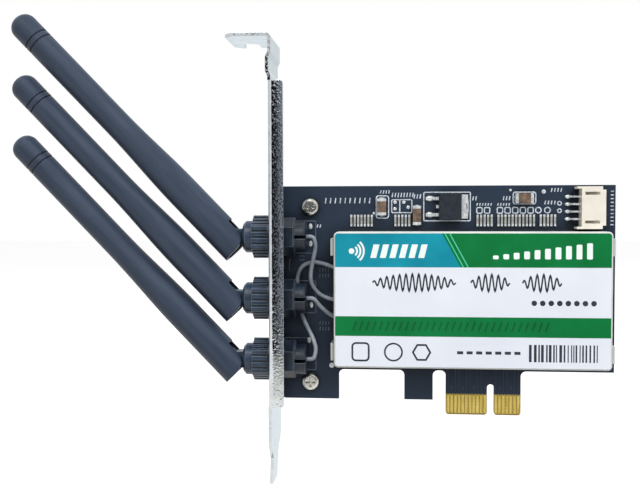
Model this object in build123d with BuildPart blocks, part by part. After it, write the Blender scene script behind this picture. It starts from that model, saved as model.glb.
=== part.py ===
from build123d import *
import math
import os

# PCI Express wireless network card with three swivelling whip antennas, in millimetres.
# X runs along the card to its free end, Z is up, and the component side faces -Y.
# The origin is the middle of the key slot, at the tongue's lower edge, half way through the board.

# Circuit board
board_thickness = 1.57
board_left = -57.15
board_right = 33.0
board_top = 62.9
board_shoulder = 12.8
foot_right = -41.6
foot_bottom = 3.9
foot_corner = 0.8
tab_left = -23.5
tab_right = -15.7
tab_bottom = 4.0
tongue_left = -12.15
tongue_right = 8.15
bevel_depth = 0.3
bevel_height = 0.45
tongue_corner = 0.8
root_radius = 1.4
key_width = 1.9
key_height = 8.5

# Gold edge contacts: eleven before the key slot and seven after it
contact_pitch = 1.0
contact_width = 0.7
contact_thickness = 0.05
contact_bottom = 0.5
contact_top = 5.5
contact_from_key = 1.5
contacts_before_key = 11
contacts_after_key = 7

# Bracket of folded sheet steel
sheet = 0.9
bracket_outer = -59.15
bracket_width = 18.42
bracket_behind_board = 1.55
bracket_top = 102.5
bracket_bottom = -17.5
flange_depth = 11.45
flange_corner = 2.0
bend_radius = 0.9
joggle = 0.6
joggle_run = 1.3
joggle_top = 97.5
joggle_bottom = 91.3
toe_bend_z = -7.5
toe_lean = 0.45
toe_width = 8.6
toe_taper_top = -6.0
toe_taper_bottom = -10.5
lip_width = 4.1
lip_bottom = 4.2
lip_top = 90.1
lip_corner = 0.8
notch_width = 4.4
notch_depth = 4.6
notch_from_plate = 6.3
ear_width = 9.0

# Bracket screws
screw_x = -49.4
screw_z = (57.15, 8.8)
screw_head_radius = 2.4
screw_head_height = 1.9
screw_head_round = 0.9
screw_shank_radius = 1.45
screw_clearance = 0.1
screw_tail = 0.9
recess_width = 0.7
recess_length = 2.9
recess_depth = 1.1

# Snap-on cover and its label
cover_left = -42.45
cover_right = 30.9
cover_bottom = 13.85
cover_top = 50.45
cover_height = 7.9
cover_wall = 1.0
cover_corner = 1.2
cover_edge = 0.4
label_margin = 0.45
label_corner = 0.7
label_thickness = 0.1
leg_width = 4.6
leg_reach = 0.9
leg_root = 0.4
leg_height = 6.6
leg_barb = 0.45
leg_barb_height = 0.8
leg_clearance = 0.1
leg_z = (46.3, 17.9)
cable_notch_width = 2.6
cable_notch_height = 3.8
cable_notch_z = (31.8, 26.9, 40.5)

# Radio module under the cover
module_left = -25.5
module_right = 24.9
module_centre_z = 32.5
module_width = 30.0
module_thickness = 1.0
module_height = 4.0
socket_depth = 7.5
socket_grip = 3.4
socket_height = 5.9
standoff_radius = 2.3
standoff_inset = 2.9
module_screw_radius = 0.95
module_screw_head_radius = 2.2
module_screw_head_height = 1.1
shield_left = -11.5
shield_right = 15.0
shield_width = 23.0
shield_height = 1.6
shield_sheet = 0.2
module_chip_side = 9.0
module_chip_height = 1.0
module_chip_spacing = 12.0
rf_jack_x = -17.0
rf_jack_z = (32.3, 25.5, 40.0)
rf_jack_size = 2.6
rf_jack_base = 0.5
plug_radius = 1.4
plug_height = 1.2
plug_tail = 3.0
plug_tail_width = 1.5

# Voltage regulator
regulator_left = -14.2
regulator_right = -8.1
regulator_bottom = 53.5
regulator_top = 60.85
regulator_height = 2.4
regulator_chamfer = 0.25
regulator_tab_reach = 1.8
regulator_tab_inset = 0.4
regulator_metal = 0.5
regulator_lead_reach = 3.5
regulator_lead_width = 0.9
regulator_lead_spacing = 4.4
regulator_lead_height = 1.1
regulator_lead_straight = 0.6
regulator_lead_drop = 0.6
regulator_stub_reach = 0.7

# Ceramic capacitors: centre X, centre Z, size along X, size along Z
capacitor_places = (
    (-29.75, 57.15, 2.5, 4.5),
    (-20.1, 54.8, 2.2, 5.2),
    (8.8, 59.4, 4.8, 2.7),
)
capacitor_height = 1.5
capacitor_terminal = 0.75
terminal_wrap = 0.06

# Rows of small chip parts: X of each row's first chip, and how many chips stand in it
chip_row_starts = (-38.1, -35.3, -26.0, -3.7, 1.9, 13.2)
chip_row_counts = (3, 4, 5, 5, 11, 5)
chip_pitch = 0.95
chip_width = 0.55
chip_length = 1.9
chip_thickness = 0.45
chip_solder = 0.65
chip_row_z = 53.4

# Four-way header
header_left = 23.3
header_right = 29.6
header_centre_z = 56.75
header_length = 11.3
header_height = 4.6
header_wall = 0.9
header_back = 1.2
header_arm = 1.2
header_arm_width = 0.6
header_mouth_step = 0.85
header_slot_length = 3.9
header_slot_width = 0.8
header_slot_spacing = 7.6
header_slot_from_left = 0.8
pin_pitch = 2.0
pin_count = 4
pin_size = 0.5
pin_height = 2.2
pin_foot_left = 19.95
pin_bend_x = 21.5
pin_tip = 29.0

# Antenna jacks, washers and coupling nuts, on three parallel axes
jack_z = (49.1, 32.4, 15.8)
jack_rear = -49.9
jack_shoulder = -52.8
jack_body_radius = 4.1
jack_hex_radius = 5.2
jack_hex_chamfer = 0.3
jack_barrel_radius = 4.2
jack_barrel_reach = 3.1
jack_rear_round = 0.5
jack_slot = 1.0
jack_slot_length = 2.9
thread_clearance = 0.05
washer_radius = 6.2
washer_thickness = 0.7
nut_radius = 5.9
nut_corner = 0.7
nut_length = 4.4
nut_lip = 0.9
nut_groove_width = 0.7
nut_groove_depth = 0.45
nut_groove_spacing = 1.7
seat_gap = 0.05

# Swivel elbows
collar_thickness = 1.0
collar_clearance = 0.1
shaft_radius = 3.5
swivel_clearance = 0.05
neck_radius = 4.3
neck_length = 2.6
neck_chamfer = 0.7
hinge_from_neck = 5.0
tongue_thickness = 4.6
tongue_height = 4.4
barrel_radius = 3.2
trunnion_radius = 1.5
trunnion_reach = 0.9
hinge_clearance = 0.1
trunnion_clearance = 0.05

# Antenna whips, drawn along their own axis from the hinge
whip_tilt = 45.9
whip_length = 83.6
whip_base_radius = 4.48
whip_tip_radius = 3.72
whip_dome = 3.1
whip_taper_start = 17.0
whip_taper_end = 43.0
whip_end = 4.75
whip_slot_room = 0.25
groove_from_tip = (8.0, 9.8)
groove_width = 0.6
groove_depth = 0.3
bore_radius = 2.3
bore_start = 8.0
bore_end = 78.0
radiator_clearance = 0.05
sleeve_wall = 0.4
sleeve_length = 24.0
rod_radius = 0.7

# Pigtail cables: each bend takes this share of the shorter run beside it
cable_radius = 0.565
cable_exit = 1.9
bend_share = 0.45

# How far a cut runs past the face that it opens, and how near two equal places are
overcut = 1.0
near = 0.01

# Derived places
board_front = -board_thickness / 2
board_back = board_thickness / 2
plate_x = bracket_outer + sheet / 2
bracket_inner = bracket_outer + sheet
bracket_far = board_back + bracket_behind_board
bracket_near = bracket_far - bracket_width
jack_y = (bracket_far + bracket_near) / 2
jack_height = board_front - jack_y
lip_right = bracket_outer + lip_width
washer_outer = bracket_outer - washer_thickness
nut_start = washer_outer - seat_gap
nut_end = nut_start - nut_length
barrel_end = bracket_outer - jack_barrel_reach
collar_radius = jack_barrel_radius + thread_clearance - collar_clearance
collar_outer = nut_end + nut_lip + seat_gap
neck_start = nut_end - seat_gap
neck_end = neck_start - neck_length
hinge_x = neck_end - hinge_from_neck
slot_half = tongue_thickness / 2 + hinge_clearance
slot_reach = barrel_radius + whip_slot_room
slot_mouth = tongue_height / 2 + whip_slot_room
tilt = math.radians(whip_tilt)
whip_direction = (-math.cos(tilt), 0, math.sin(tilt))
screw_places = [(screw_x, z) for z in screw_z]
module_bottom_z = module_centre_z - module_width / 2
module_top_z = module_centre_z + module_width / 2
module_face = module_height + module_thickness
standoff_places = [
    (module_left + standoff_inset, module_bottom_z + standoff_inset),
    (module_left + standoff_inset, module_top_z - standoff_inset),
]

# Planes parallel to the board: local x is X, local y is Z, and the normal is -Y
component_side = Plane.XZ.offset(-board_front)
solder_side = Plane.XZ.offset(-board_back)

os.makedirs("parts", exist_ok=True)


def rectangle_between(x0, y0, x1, y1, mode=Mode.ADD):
    """A rectangle given by two opposite corners, in the sketch that is open."""
    with Locations(((x0 + x1) / 2, (y0 + y1) / 2)):
        Rectangle(abs(x1 - x0), abs(y1 - y0), mode=mode)


def along_jack(x, z):
    """A plane across a jack's axis at X = x: local x faces the viewer, local y is up, normal -X."""
    return Plane(origin=(x, jack_y, z), x_dir=(0, -1, 0), z_dir=(-1, 0, 0))


# Circuit board: one routed outline with a foot, a tab and the keyed tongue along its lower edge
with BuildPart() as circuit_board:
    with BuildSketch(solder_side) as outline:
        rectangle_between(board_left, board_shoulder, board_right, board_top)
        rectangle_between(board_left, foot_bottom, foot_right, board_shoulder)
        rectangle_between(tab_left, tab_bottom, tab_right, board_shoulder)
        rectangle_between(tongue_left, 0, tongue_right, board_shoulder)
        corners = outline.vertices()
        at_shoulder = corners.filter_by_position(Axis.Y, board_shoulder - near, board_shoulder + near)
        fillet(at_shoulder.sort_by(Axis.X)[:-1], root_radius)
        fillet(outline.vertices().group_by(Axis.X)[0].sort_by(Axis.Y)[0], foot_corner)
        key_arch = key_height - key_width / 2
        rectangle_between(-key_width / 2, -overcut, key_width / 2, key_arch, mode=Mode.SUBTRACT)
        with Locations((0, key_arch)):
            Circle(key_width / 2, mode=Mode.SUBTRACT)
        fillet(outline.vertices().group_by(Axis.Y)[0], tongue_corner)
        with Locations(*screw_places):
            Circle(screw_shank_radius + screw_clearance, mode=Mode.SUBTRACT)
        for z in leg_z:
            slot_bottom = z - leg_width / 2 - leg_clearance
            slot_top = z + leg_width / 2 + leg_clearance
            for wall, outward in ((cover_left, -1), (cover_right, 1)):
                inner_edge = wall - outward * (leg_root + leg_clearance)
                outer_edge = wall + outward * (leg_reach + leg_clearance)
                rectangle_between(inner_edge, slot_bottom, outer_edge, slot_top, mode=Mode.SUBTRACT)
    extrude(amount=board_thickness)

    # The tongue's lower edge is bevelled on both faces
    for face, inward in ((board_front, 1), (board_back, -1)):
        with BuildSketch(Plane.YZ.offset(tongue_left)):
            with BuildLine():
                Polyline((face, 0), (face + inward * bevel_depth, 0), (face, bevel_height), close=True)
            make_face()
        extrude(amount=tongue_right - tongue_left, mode=Mode.SUBTRACT)
circuit_board.part.label = "circuit_board"
export_step(circuit_board.part, "parts/circuit_board.step")

# Edge contacts: plated fingers on both faces of the tongue
contact_x = [-contact_from_key - contact_pitch * i for i in range(contacts_before_key)]
contact_x += [contact_from_key + contact_pitch * i for i in range(contacts_after_key)]
contact_places = [(x, (contact_bottom + contact_top) / 2) for x in contact_x]

with BuildPart() as edge_contacts_front:
    with BuildSketch(component_side):
        with Locations(*contact_places):
            Rectangle(contact_width, contact_top - contact_bottom)
    extrude(amount=contact_thickness)
edge_contacts_front.part.label = "edge_contacts_front"
export_step(edge_contacts_front.part, "parts/edge_contacts_front.step")

with BuildPart() as edge_contacts_back:
    with BuildSketch(solder_side):
        with Locations(*contact_places):
            Rectangle(contact_width, contact_top - contact_bottom)
    extrude(amount=-contact_thickness)
edge_contacts_back.part.label = "edge_contacts_back"
export_step(edge_contacts_back.part, "parts/edge_contacts_back.step")

# Bracket: a strip of sheet steel bent to its side profile, with a lip folded along the near edge
with BuildPart() as bracket:
    with BuildSketch(Plane.XZ.offset(-bracket_far)):
        with BuildLine():
            FilletPolyline(
                (bracket_outer - flange_depth, bracket_top - sheet / 2),
                (plate_x, bracket_top - sheet / 2),
                (plate_x, joggle_top),
                (plate_x - joggle, joggle_top - joggle_run),
                (plate_x - joggle, joggle_bottom + joggle_run),
                (plate_x, joggle_bottom),
                (plate_x, toe_bend_z),
                (plate_x - toe_lean, bracket_bottom),
                radius=bend_radius,
            )
        trace(line_width=sheet)
    extrude(amount=bracket_width)
    chamfer(bracket.edges().filter_by(Axis.Z).group_by(Axis.X)[0], flange_corner)

    # The middle section's near edge turns the corner into the lip
    fold_reach = 3 * bend_radius
    with BuildSketch(Plane.XY.offset(lip_bottom)):
        rectangle_between(
            bracket_outer - overcut,
            bracket_near - overcut,
            bracket_inner + overcut,
            bracket_near + fold_reach,
        )
    extrude(amount=lip_top - lip_bottom, mode=Mode.SUBTRACT)
    with BuildSketch(Plane.XY.offset(lip_bottom)):
        with BuildLine():
            FilletPolyline(
                (plate_x, bracket_near + fold_reach),
                (plate_x, bracket_near + sheet / 2),
                (lip_right, bracket_near + sheet / 2),
                radius=bend_radius,
            )
        trace(line_width=sheet)
    extrude(amount=lip_top - lip_bottom)
    fillet(bracket.edges().filter_by(Axis.Y).group_by(Axis.X)[-1], lip_corner)

    # The toe narrows from both edges to the width that enters the case slot
    toe_near = (bracket_near + bracket_far - toe_width) / 2
    toe_far = toe_near + toe_width
    for edge, toe_edge, outward in ((bracket_near, toe_near, -1), (bracket_far, toe_far, 1)):
        with BuildSketch(Plane.YZ.offset(bracket_outer - flange_depth)):
            with BuildLine():
                Polyline(
                    (edge + outward * overcut, toe_taper_top),
                    (edge, toe_taper_top),
                    (toe_edge, toe_taper_bottom),
                    (toe_edge, bracket_bottom - overcut),
                    (edge + outward * overcut, bracket_bottom - overcut),
                    close=True,
                )
            make_face()
        extrude(amount=2 * flange_depth, mode=Mode.SUBTRACT)

    # Open notch in the flange for the case screw
    notch_x = bracket_outer - notch_from_plate
    notch_end = bracket_far - notch_depth
    with BuildSketch(Plane.XY.offset(bracket_top - 2 * sheet)):
        rectangle_between(
            notch_x - notch_width / 2,
            notch_end,
            notch_x + notch_width / 2,
            bracket_far + overcut,
        )
        with Locations((notch_x, notch_end)):
            Circle(notch_width / 2)
    extrude(amount=3 * sheet, mode=Mode.SUBTRACT)

    # Tapped ears behind the board take the two screws
    with BuildSketch(Plane.XZ.offset(-board_back - sheet)):
        for x, z in screw_places:
            rectangle_between(plate_x, z - ear_width / 2, x, z + ear_width / 2)
        with Locations(*screw_places):
            Circle(ear_width / 2)
            Circle(screw_shank_radius + thread_clearance, mode=Mode.SUBTRACT)
    extrude(amount=sheet)

    # Holes for the three antenna jacks
    with BuildSketch(Plane.YZ.offset(bracket_outer - joggle)):
        with Locations(*[(jack_y, z) for z in jack_z]):
            Circle(jack_barrel_radius + thread_clearance)
    extrude(amount=sheet + 2 * joggle, mode=Mode.SUBTRACT)
bracket.part.label = "bracket"
export_step(bracket.part, "parts/bracket.step")

# Bracket screws: pan heads with a cross recess, threaded into the ears
with BuildPart() as bracket_screws:
    with BuildSketch(component_side):
        with Locations(*screw_places):
            Circle(screw_head_radius)
    extrude(amount=screw_head_height)
    fillet(bracket_screws.edges().group_by(Axis.Y)[0], screw_head_round)
    with BuildSketch(component_side.offset(screw_head_height)):
        with Locations(*screw_places):
            Rectangle(recess_width, recess_length)
            Rectangle(recess_length, recess_width)
    extrude(amount=-recess_depth, mode=Mode.SUBTRACT)
    with BuildSketch(component_side):
        with Locations(*screw_places):
            Circle(screw_shank_radius)
    extrude(amount=-(board_thickness + sheet + screw_tail))
bracket_screws.part.label = "bracket_screws"
export_step(bracket_screws.part, "parts/bracket_screws.step")

# Module cover: a moulded lid, open towards the board, with four barbed legs through the board's slots
with BuildPart() as module_cover:
    with BuildSketch(component_side) as cover_outline:
        rectangle_between(cover_left, cover_bottom, cover_right, cover_top)
        fillet(cover_outline.vertices(), cover_corner)
    extrude(amount=cover_height)
    fillet(module_cover.faces().sort_by(Axis.Y)[0].edges(), cover_edge)
    offset(amount=-cover_wall, openings=module_cover.faces().sort_by(Axis.Y)[-1])
    with BuildSketch(component_side):
        for z in cable_notch_z:
            notch_bottom = z - cable_notch_width / 2
            notch_top = z + cable_notch_width / 2
            rectangle_between(cover_left - overcut, notch_bottom, cover_left + 2 * cover_wall, notch_top)
    extrude(amount=cable_notch_height, mode=Mode.SUBTRACT)
    leg_foot = component_side.offset(-board_thickness - leg_barb_height)
    for z in leg_z:
        for wall, outward in ((cover_left, -1), (cover_right, 1)):
            with BuildSketch(leg_foot):
                leg_side = wall + outward * leg_reach
                rectangle_between(wall - outward * leg_root, z - leg_width / 2, leg_side, z + leg_width / 2)
            extrude(amount=leg_barb_height + board_thickness + leg_height)
            with BuildSketch(leg_foot):
                barb_side = leg_side + outward * leg_barb
                rectangle_between(leg_side, z - leg_width / 2, barb_side, z + leg_width / 2)
            extrude(amount=leg_barb_height)
module_cover.part.label = "module_cover"
export_step(module_cover.part, "parts/module_cover.step")

# Cover label: a printed film on the lid's flat top
with BuildPart() as cover_label:
    with BuildSketch(component_side.offset(cover_height)) as label_outline:
        rectangle_between(
            cover_left + label_margin,
            cover_bottom + label_margin,
            cover_right - label_margin,
            cover_top - label_margin,
        )
        fillet(label_outline.vertices(), label_corner)
    extrude(amount=label_thickness)
cover_label.part.label = "cover_label"
export_step(cover_label.part, "parts/cover_label.step")

# Module socket: grips the module's contact edge and holds it above the board
socket_left = module_right - socket_grip
with BuildPart() as module_socket:
    with BuildSketch(component_side):
        rectangle_between(socket_left, module_bottom_z, socket_left + socket_depth, module_top_z)
    extrude(amount=socket_height)
    with BuildSketch(component_side.offset(module_height)):
        rectangle_between(
            socket_left - overcut,
            module_bottom_z - overcut,
            module_right,
            module_top_z + overcut,
        )
    extrude(amount=module_thickness, mode=Mode.SUBTRACT)
module_socket.part.label = "module_socket"
export_step(module_socket.part, "parts/module_socket.step")

# Module standoffs: soldered pillars under the module's far corners
with BuildPart() as module_standoffs:
    with BuildSketch(component_side):
        with Locations(*standoff_places):
            RegularPolygon(standoff_radius, 6)
            Circle(module_screw_radius + thread_clearance, mode=Mode.SUBTRACT)
    extrude(amount=module_height)
module_standoffs.part.label = "module_standoffs"
export_step(module_standoffs.part, "parts/module_standoffs.step")

# Module board: the radio's own small circuit board
with BuildPart() as module_board:
    with BuildSketch(component_side.offset(module_height)):
        rectangle_between(module_left, module_bottom_z, module_right, module_top_z)
        with Locations(*standoff_places):
            Circle(module_screw_radius + screw_clearance, mode=Mode.SUBTRACT)
    extrude(amount=module_thickness)
module_board.part.label = "module_board"
export_step(module_board.part, "parts/module_board.step")

# Module screws
with BuildPart() as module_screws:
    with BuildSketch(component_side.offset(module_face)):
        with Locations(*standoff_places):
            Circle(module_screw_head_radius)
    extrude(amount=module_screw_head_height)
    with BuildSketch(component_side.offset(module_face)):
        with Locations(*standoff_places):
            Circle(module_screw_radius)
    extrude(amount=-module_thickness - module_height / 2)
module_screws.part.label = "module_screws"
export_step(module_screws.part, "parts/module_screws.step")

# Module shield: a pressed can over the radio chips
with BuildPart() as module_shield:
    with BuildSketch(component_side.offset(module_face)):
        with Locations(((shield_left + shield_right) / 2, module_centre_z)):
            Rectangle(shield_right - shield_left, shield_width)
    extrude(amount=shield_height)
    offset(amount=-shield_sheet, openings=module_shield.faces().sort_by(Axis.Y)[-1])
module_shield.part.label = "module_shield"
export_step(module_shield.part, "parts/module_shield.step")

# Module chips: two flat packages under the shield
with BuildPart() as module_chips:
    with BuildSketch(component_side.offset(module_face)):
        with Locations(((shield_left + shield_right) / 2, module_centre_z)):
            with GridLocations(module_chip_spacing, module_chip_side, 2, 1):
                Rectangle(module_chip_side, module_chip_side)
    extrude(amount=module_chip_height)
module_chips.part.label = "module_chips"
export_step(module_chips.part, "parts/module_chips.step")

# Miniature coaxial jacks on the module
rf_jack_places = [(rf_jack_x, z) for z in rf_jack_z]
with BuildPart() as rf_jacks:
    with BuildSketch(component_side.offset(module_face)):
        with Locations(*rf_jack_places):
            Rectangle(rf_jack_size, rf_jack_size)
    extrude(amount=rf_jack_base)
rf_jacks.part.label = "rf_jacks"
export_step(rf_jacks.part, "parts/rf_jacks.step")

# Cable plugs: round caps pressed on the jacks, each with a crimped tail towards its cable
plug_face = component_side.offset(module_face + rf_jack_base)
plug_tail_end = rf_jack_x - plug_tail
cable_end_height = module_face + rf_jack_base + plug_height / 2
with BuildPart() as cable_plugs:
    with BuildSketch(plug_face):
        with Locations(*rf_jack_places):
            Circle(plug_radius)
        for x, z in rf_jack_places:
            rectangle_between(plug_tail_end, z - plug_tail_width / 2, x, z + plug_tail_width / 2)
    extrude(amount=plug_height)
cable_plugs.part.label = "cable_plugs"
export_step(cable_plugs.part, "parts/cable_plugs.step")

# Pigtail cables: X, Z and height above the board, from each antenna jack to its plug on the module
pigtail_routes = (
    (
        (jack_rear, jack_z[0], jack_height),
        (jack_rear + cable_exit, jack_z[0], jack_height),
        (-47.4, 46.5, 5.7),
        (-48.2, 43.0, 5.1),
        (-48.9, 39.8, 4.3),
        (-49.1, 37.1, 3.5),
        (-48.3, 34.8, 2.8),
        (-46.4, 32.9, 2.4),
        (-43.6, 31.8, 2.4),
        (-39.6, 31.6, 2.9),
        (-33.6, 32.1, 4.7),
        (-27.0, 32.3, cable_end_height),
        (plug_tail_end, rf_jack_z[0], cable_end_height),
    ),
    (
        (jack_rear, jack_z[1], jack_height),
        (jack_rear + cable_exit, jack_z[1], jack_height),
        (-46.5, 30.1, 4.4),
        (-43.8, 27.5, 2.7),
        (-40.4, 26.1, 2.5),
        (-34.0, 25.7, 4.7),
        (-27.2, 25.5, cable_end_height),
        (plug_tail_end, rf_jack_z[1], cable_end_height),
    ),
    (
        (jack_rear, jack_z[2], jack_height),
        (jack_rear + cable_exit, jack_z[2], jack_height),
        (-47.4, 18.4, 5.0),
        (-48.6, 21.6, 3.7),
        (-50.3, 24.4, 2.2),
        (-51.8, 27.4, 1.1),
        (-52.7, 31.2, 0.8),
        (-53.1, 35.0, 0.8),
        (-53.0, 38.4, 1.0),
        (-51.5, 41.1, 1.4),
        (-48.6, 42.1, 1.8),
        (-45.5, 41.6, 2.1),
        (-42.6, 40.5, 2.3),
        (-38.6, 40.0, 2.9),
        (-33.0, 40.1, 4.9),
        (-27.0, 40.0, cable_end_height),
        (plug_tail_end, rf_jack_z[2], cable_end_height),
    ),
)

for index, route in enumerate(pigtail_routes, 1):
    points = [Vector(x, board_front - height, z) for x, z, height in route]
    runs = [b - a for a, b in zip(points, points[1:])]
    radii = []
    for before, after in zip(runs, runs[1:]):
        half_turn = math.radians(before.get_angle(after)) / 2
        radii.append(bend_share * min(before.length, after.length) / math.tan(half_turn))
    with BuildPart() as pigtail:
        with BuildLine() as path:
            FilletPolyline(*points, radius=radii)
        with BuildSketch(Plane(origin=path.line @ 0, z_dir=path.line % 0)):
            Circle(cable_radius)
        sweep()
    pigtail.part.label = f"pigtail_{index}"
    export_step(pigtail.part, f"parts/pigtail_{index}.step")
    length = path.wire().length
    ratio = pigtail.part.volume / (math.pi * cable_radius**2 * length)
    bends = ", ".join(f"{radius:.1f}" for radius in radii)
    print(f"pigtail_{index}: length {length:.1f}, volume ratio {ratio:.3f}, radii {bends}")

# Voltage regulator: moulded body on a metal tab, with two formed leads and a cropped one between them
regulator_centre_z = (regulator_bottom + regulator_top) / 2
with BuildPart() as regulator_body:
    with BuildSketch(component_side.offset(regulator_metal)):
        rectangle_between(regulator_left, regulator_bottom, regulator_right, regulator_top)
    extrude(amount=regulator_height - regulator_metal)
    chamfer(regulator_body.faces().sort_by(Axis.Y)[0].edges(), regulator_chamfer)
regulator_body.part.label = "regulator_body"
export_step(regulator_body.part, "parts/regulator_body.step")

with BuildPart() as regulator_frame:
    with BuildSketch(component_side):
        rectangle_between(
            regulator_left,
            regulator_bottom + regulator_tab_inset,
            regulator_right + regulator_tab_reach,
            regulator_top - regulator_tab_inset,
        )
    extrude(amount=regulator_metal)
    lead_plane = board_front - regulator_lead_height
    foot_plane = board_front - regulator_metal / 2
    shoulder_x = regulator_left - regulator_lead_straight
    for lead_z in (-regulator_lead_spacing / 2, regulator_lead_spacing / 2):
        with BuildSketch(Plane.XY.offset(regulator_centre_z + lead_z - regulator_lead_width / 2)):
            with BuildLine():
                Polyline(
                    (regulator_left, lead_plane),
                    (shoulder_x, lead_plane),
                    (shoulder_x - regulator_lead_drop, foot_plane),
                    (regulator_left - regulator_lead_reach, foot_plane),
                )
            trace(line_width=regulator_metal)
        extrude(amount=regulator_lead_width)
    with BuildSketch(component_side.offset(regulator_lead_height - regulator_metal / 2)):
        rectangle_between(
            regulator_left - regulator_stub_reach,
            regulator_centre_z - regulator_lead_width / 2,
            regulator_left,
            regulator_centre_z + regulator_lead_width / 2,
        )
    extrude(amount=regulator_metal)
regulator_frame.part.label = "regulator_frame"
export_step(regulator_frame.part, "parts/regulator_frame.step")

# Ceramic capacitors: brown bodies between plated end caps
with BuildPart() as capacitor_bodies:
    for x, z, size_x, size_z in capacitor_places:
        upright = size_z > size_x
        body_x = size_x if upright else size_x - 2 * capacitor_terminal
        body_z = size_z - 2 * capacitor_terminal if upright else size_z
        with BuildSketch(component_side.offset(terminal_wrap)):
            with Locations((x, z)):
                Rectangle(body_x, body_z)
        extrude(amount=capacitor_height - 2 * terminal_wrap)
capacitor_bodies.part.label = "capacitor_bodies"
export_step(capacitor_bodies.part, "parts/capacitor_bodies.step")

with BuildPart() as capacitor_terminals:
    for x, z, size_x, size_z in capacitor_places:
        upright = size_z > size_x
        cap_x = size_x if upright else capacitor_terminal
        cap_z = capacitor_terminal if upright else size_z
        step_x = 0 if upright else (size_x - capacitor_terminal) / 2
        step_z = (size_z - capacitor_terminal) / 2 if upright else 0
        with BuildSketch(component_side):
            with Locations((x - step_x, z - step_z), (x + step_x, z + step_z)):
                Rectangle(cap_x, cap_z)
        extrude(amount=capacitor_height)
capacitor_terminals.part.label = "capacitor_terminals"
export_step(capacitor_terminals.part, "parts/capacitor_terminals.step")

# Small chip parts standing side by side in rows, each soldered at both ends
chip_places = []
for first, count in zip(chip_row_starts, chip_row_counts):
    chip_places += [(first + chip_pitch * i, chip_row_z) for i in range(count)]
with BuildPart() as chip_bodies:
    with BuildSketch(component_side):
        with Locations(*chip_places):
            Rectangle(chip_width, chip_length)
    extrude(amount=chip_thickness)
chip_bodies.part.label = "chip_bodies"
export_step(chip_bodies.part, "parts/chip_bodies.step")

with BuildPart() as chip_terminals:
    solder_step = (chip_length + chip_solder) / 2
    with BuildSketch(component_side):
        with Locations(*chip_places):
            with Locations((0, -solder_step), (0, solder_step)):
                Rectangle(chip_width, chip_solder)
    extrude(amount=chip_thickness)
chip_terminals.part.label = "chip_terminals"
export_step(chip_terminals.part, "parts/chip_terminals.step")

# Header housing: a moulded box with its mouth towards the card's free end
header_bottom = header_centre_z - header_length / 2
header_top = header_centre_z + header_length / 2
pin_places = [header_centre_z + pin_pitch * (i - (pin_count - 1) / 2) for i in range(pin_count)]
with BuildPart() as header_housing:
    with BuildSketch(component_side):
        rectangle_between(header_left, header_bottom, header_right - header_mouth_step, header_top)
        lip_low = header_bottom + header_wall
        lip_high = header_top - header_wall
        rectangle_between(header_left, lip_low, header_right, lip_high)
        arm_end = header_left - header_arm
        rectangle_between(arm_end, header_top - header_arm_width, header_left, header_top)
        rectangle_between(arm_end, header_bottom, header_left, header_bottom + header_arm_width)
    extrude(amount=header_height)
    with BuildSketch(component_side.offset(header_wall)):
        rectangle_between(header_left + header_back, lip_low, header_right + overcut, lip_high)
    extrude(amount=header_height - 2 * header_wall, mode=Mode.SUBTRACT)
    slot_start = header_left + header_slot_from_left
    with BuildSketch(component_side.offset(header_height)):
        for side in (-1, 1):
            slot_z = header_centre_z + side * header_slot_spacing / 2
            rectangle_between(
                slot_start,
                slot_z - header_slot_width / 2,
                slot_start + header_slot_length,
                slot_z + header_slot_width / 2,
            )
    extrude(amount=-header_wall, mode=Mode.SUBTRACT)
    pin_hole_end = header_left + header_back + overcut
    with BuildSketch(component_side.offset(pin_height - pin_size / 2)):
        for z in pin_places:
            rectangle_between(header_left - overcut, z - pin_size / 2, pin_hole_end, z + pin_size / 2)
    extrude(amount=pin_size, mode=Mode.SUBTRACT)
header_housing.part.label = "header_housing"
export_step(header_housing.part, "parts/header_housing.step")

# Header pins: square wire bent down to feet on the board
with BuildPart() as header_pins:
    for z in pin_places:
        with BuildSketch(Plane.XY.offset(z - pin_size / 2)):
            with BuildLine():
                Polyline(
                    (pin_foot_left, board_front - pin_size / 2),
                    (pin_bend_x - pin_size, board_front - pin_size / 2),
                    (pin_bend_x, board_front - pin_height),
                    (pin_tip, board_front - pin_height),
                )
            trace(line_width=pin_size)
        extrude(amount=pin_size)
header_pins.part.label = "header_pins"
export_step(header_pins.part, "parts/header_pins.step")

# Jack washers between the bracket and the coupling nuts
with BuildPart() as jack_washers:
    for z in jack_z:
        with BuildSketch(along_jack(bracket_outer, z)):
            Circle(washer_radius)
            Circle(jack_barrel_radius + thread_clearance, mode=Mode.SUBTRACT)
        extrude(amount=washer_thickness)
jack_washers.part.label = "jack_washers"
export_step(jack_washers.part, "parts/jack_washers.step")

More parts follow.
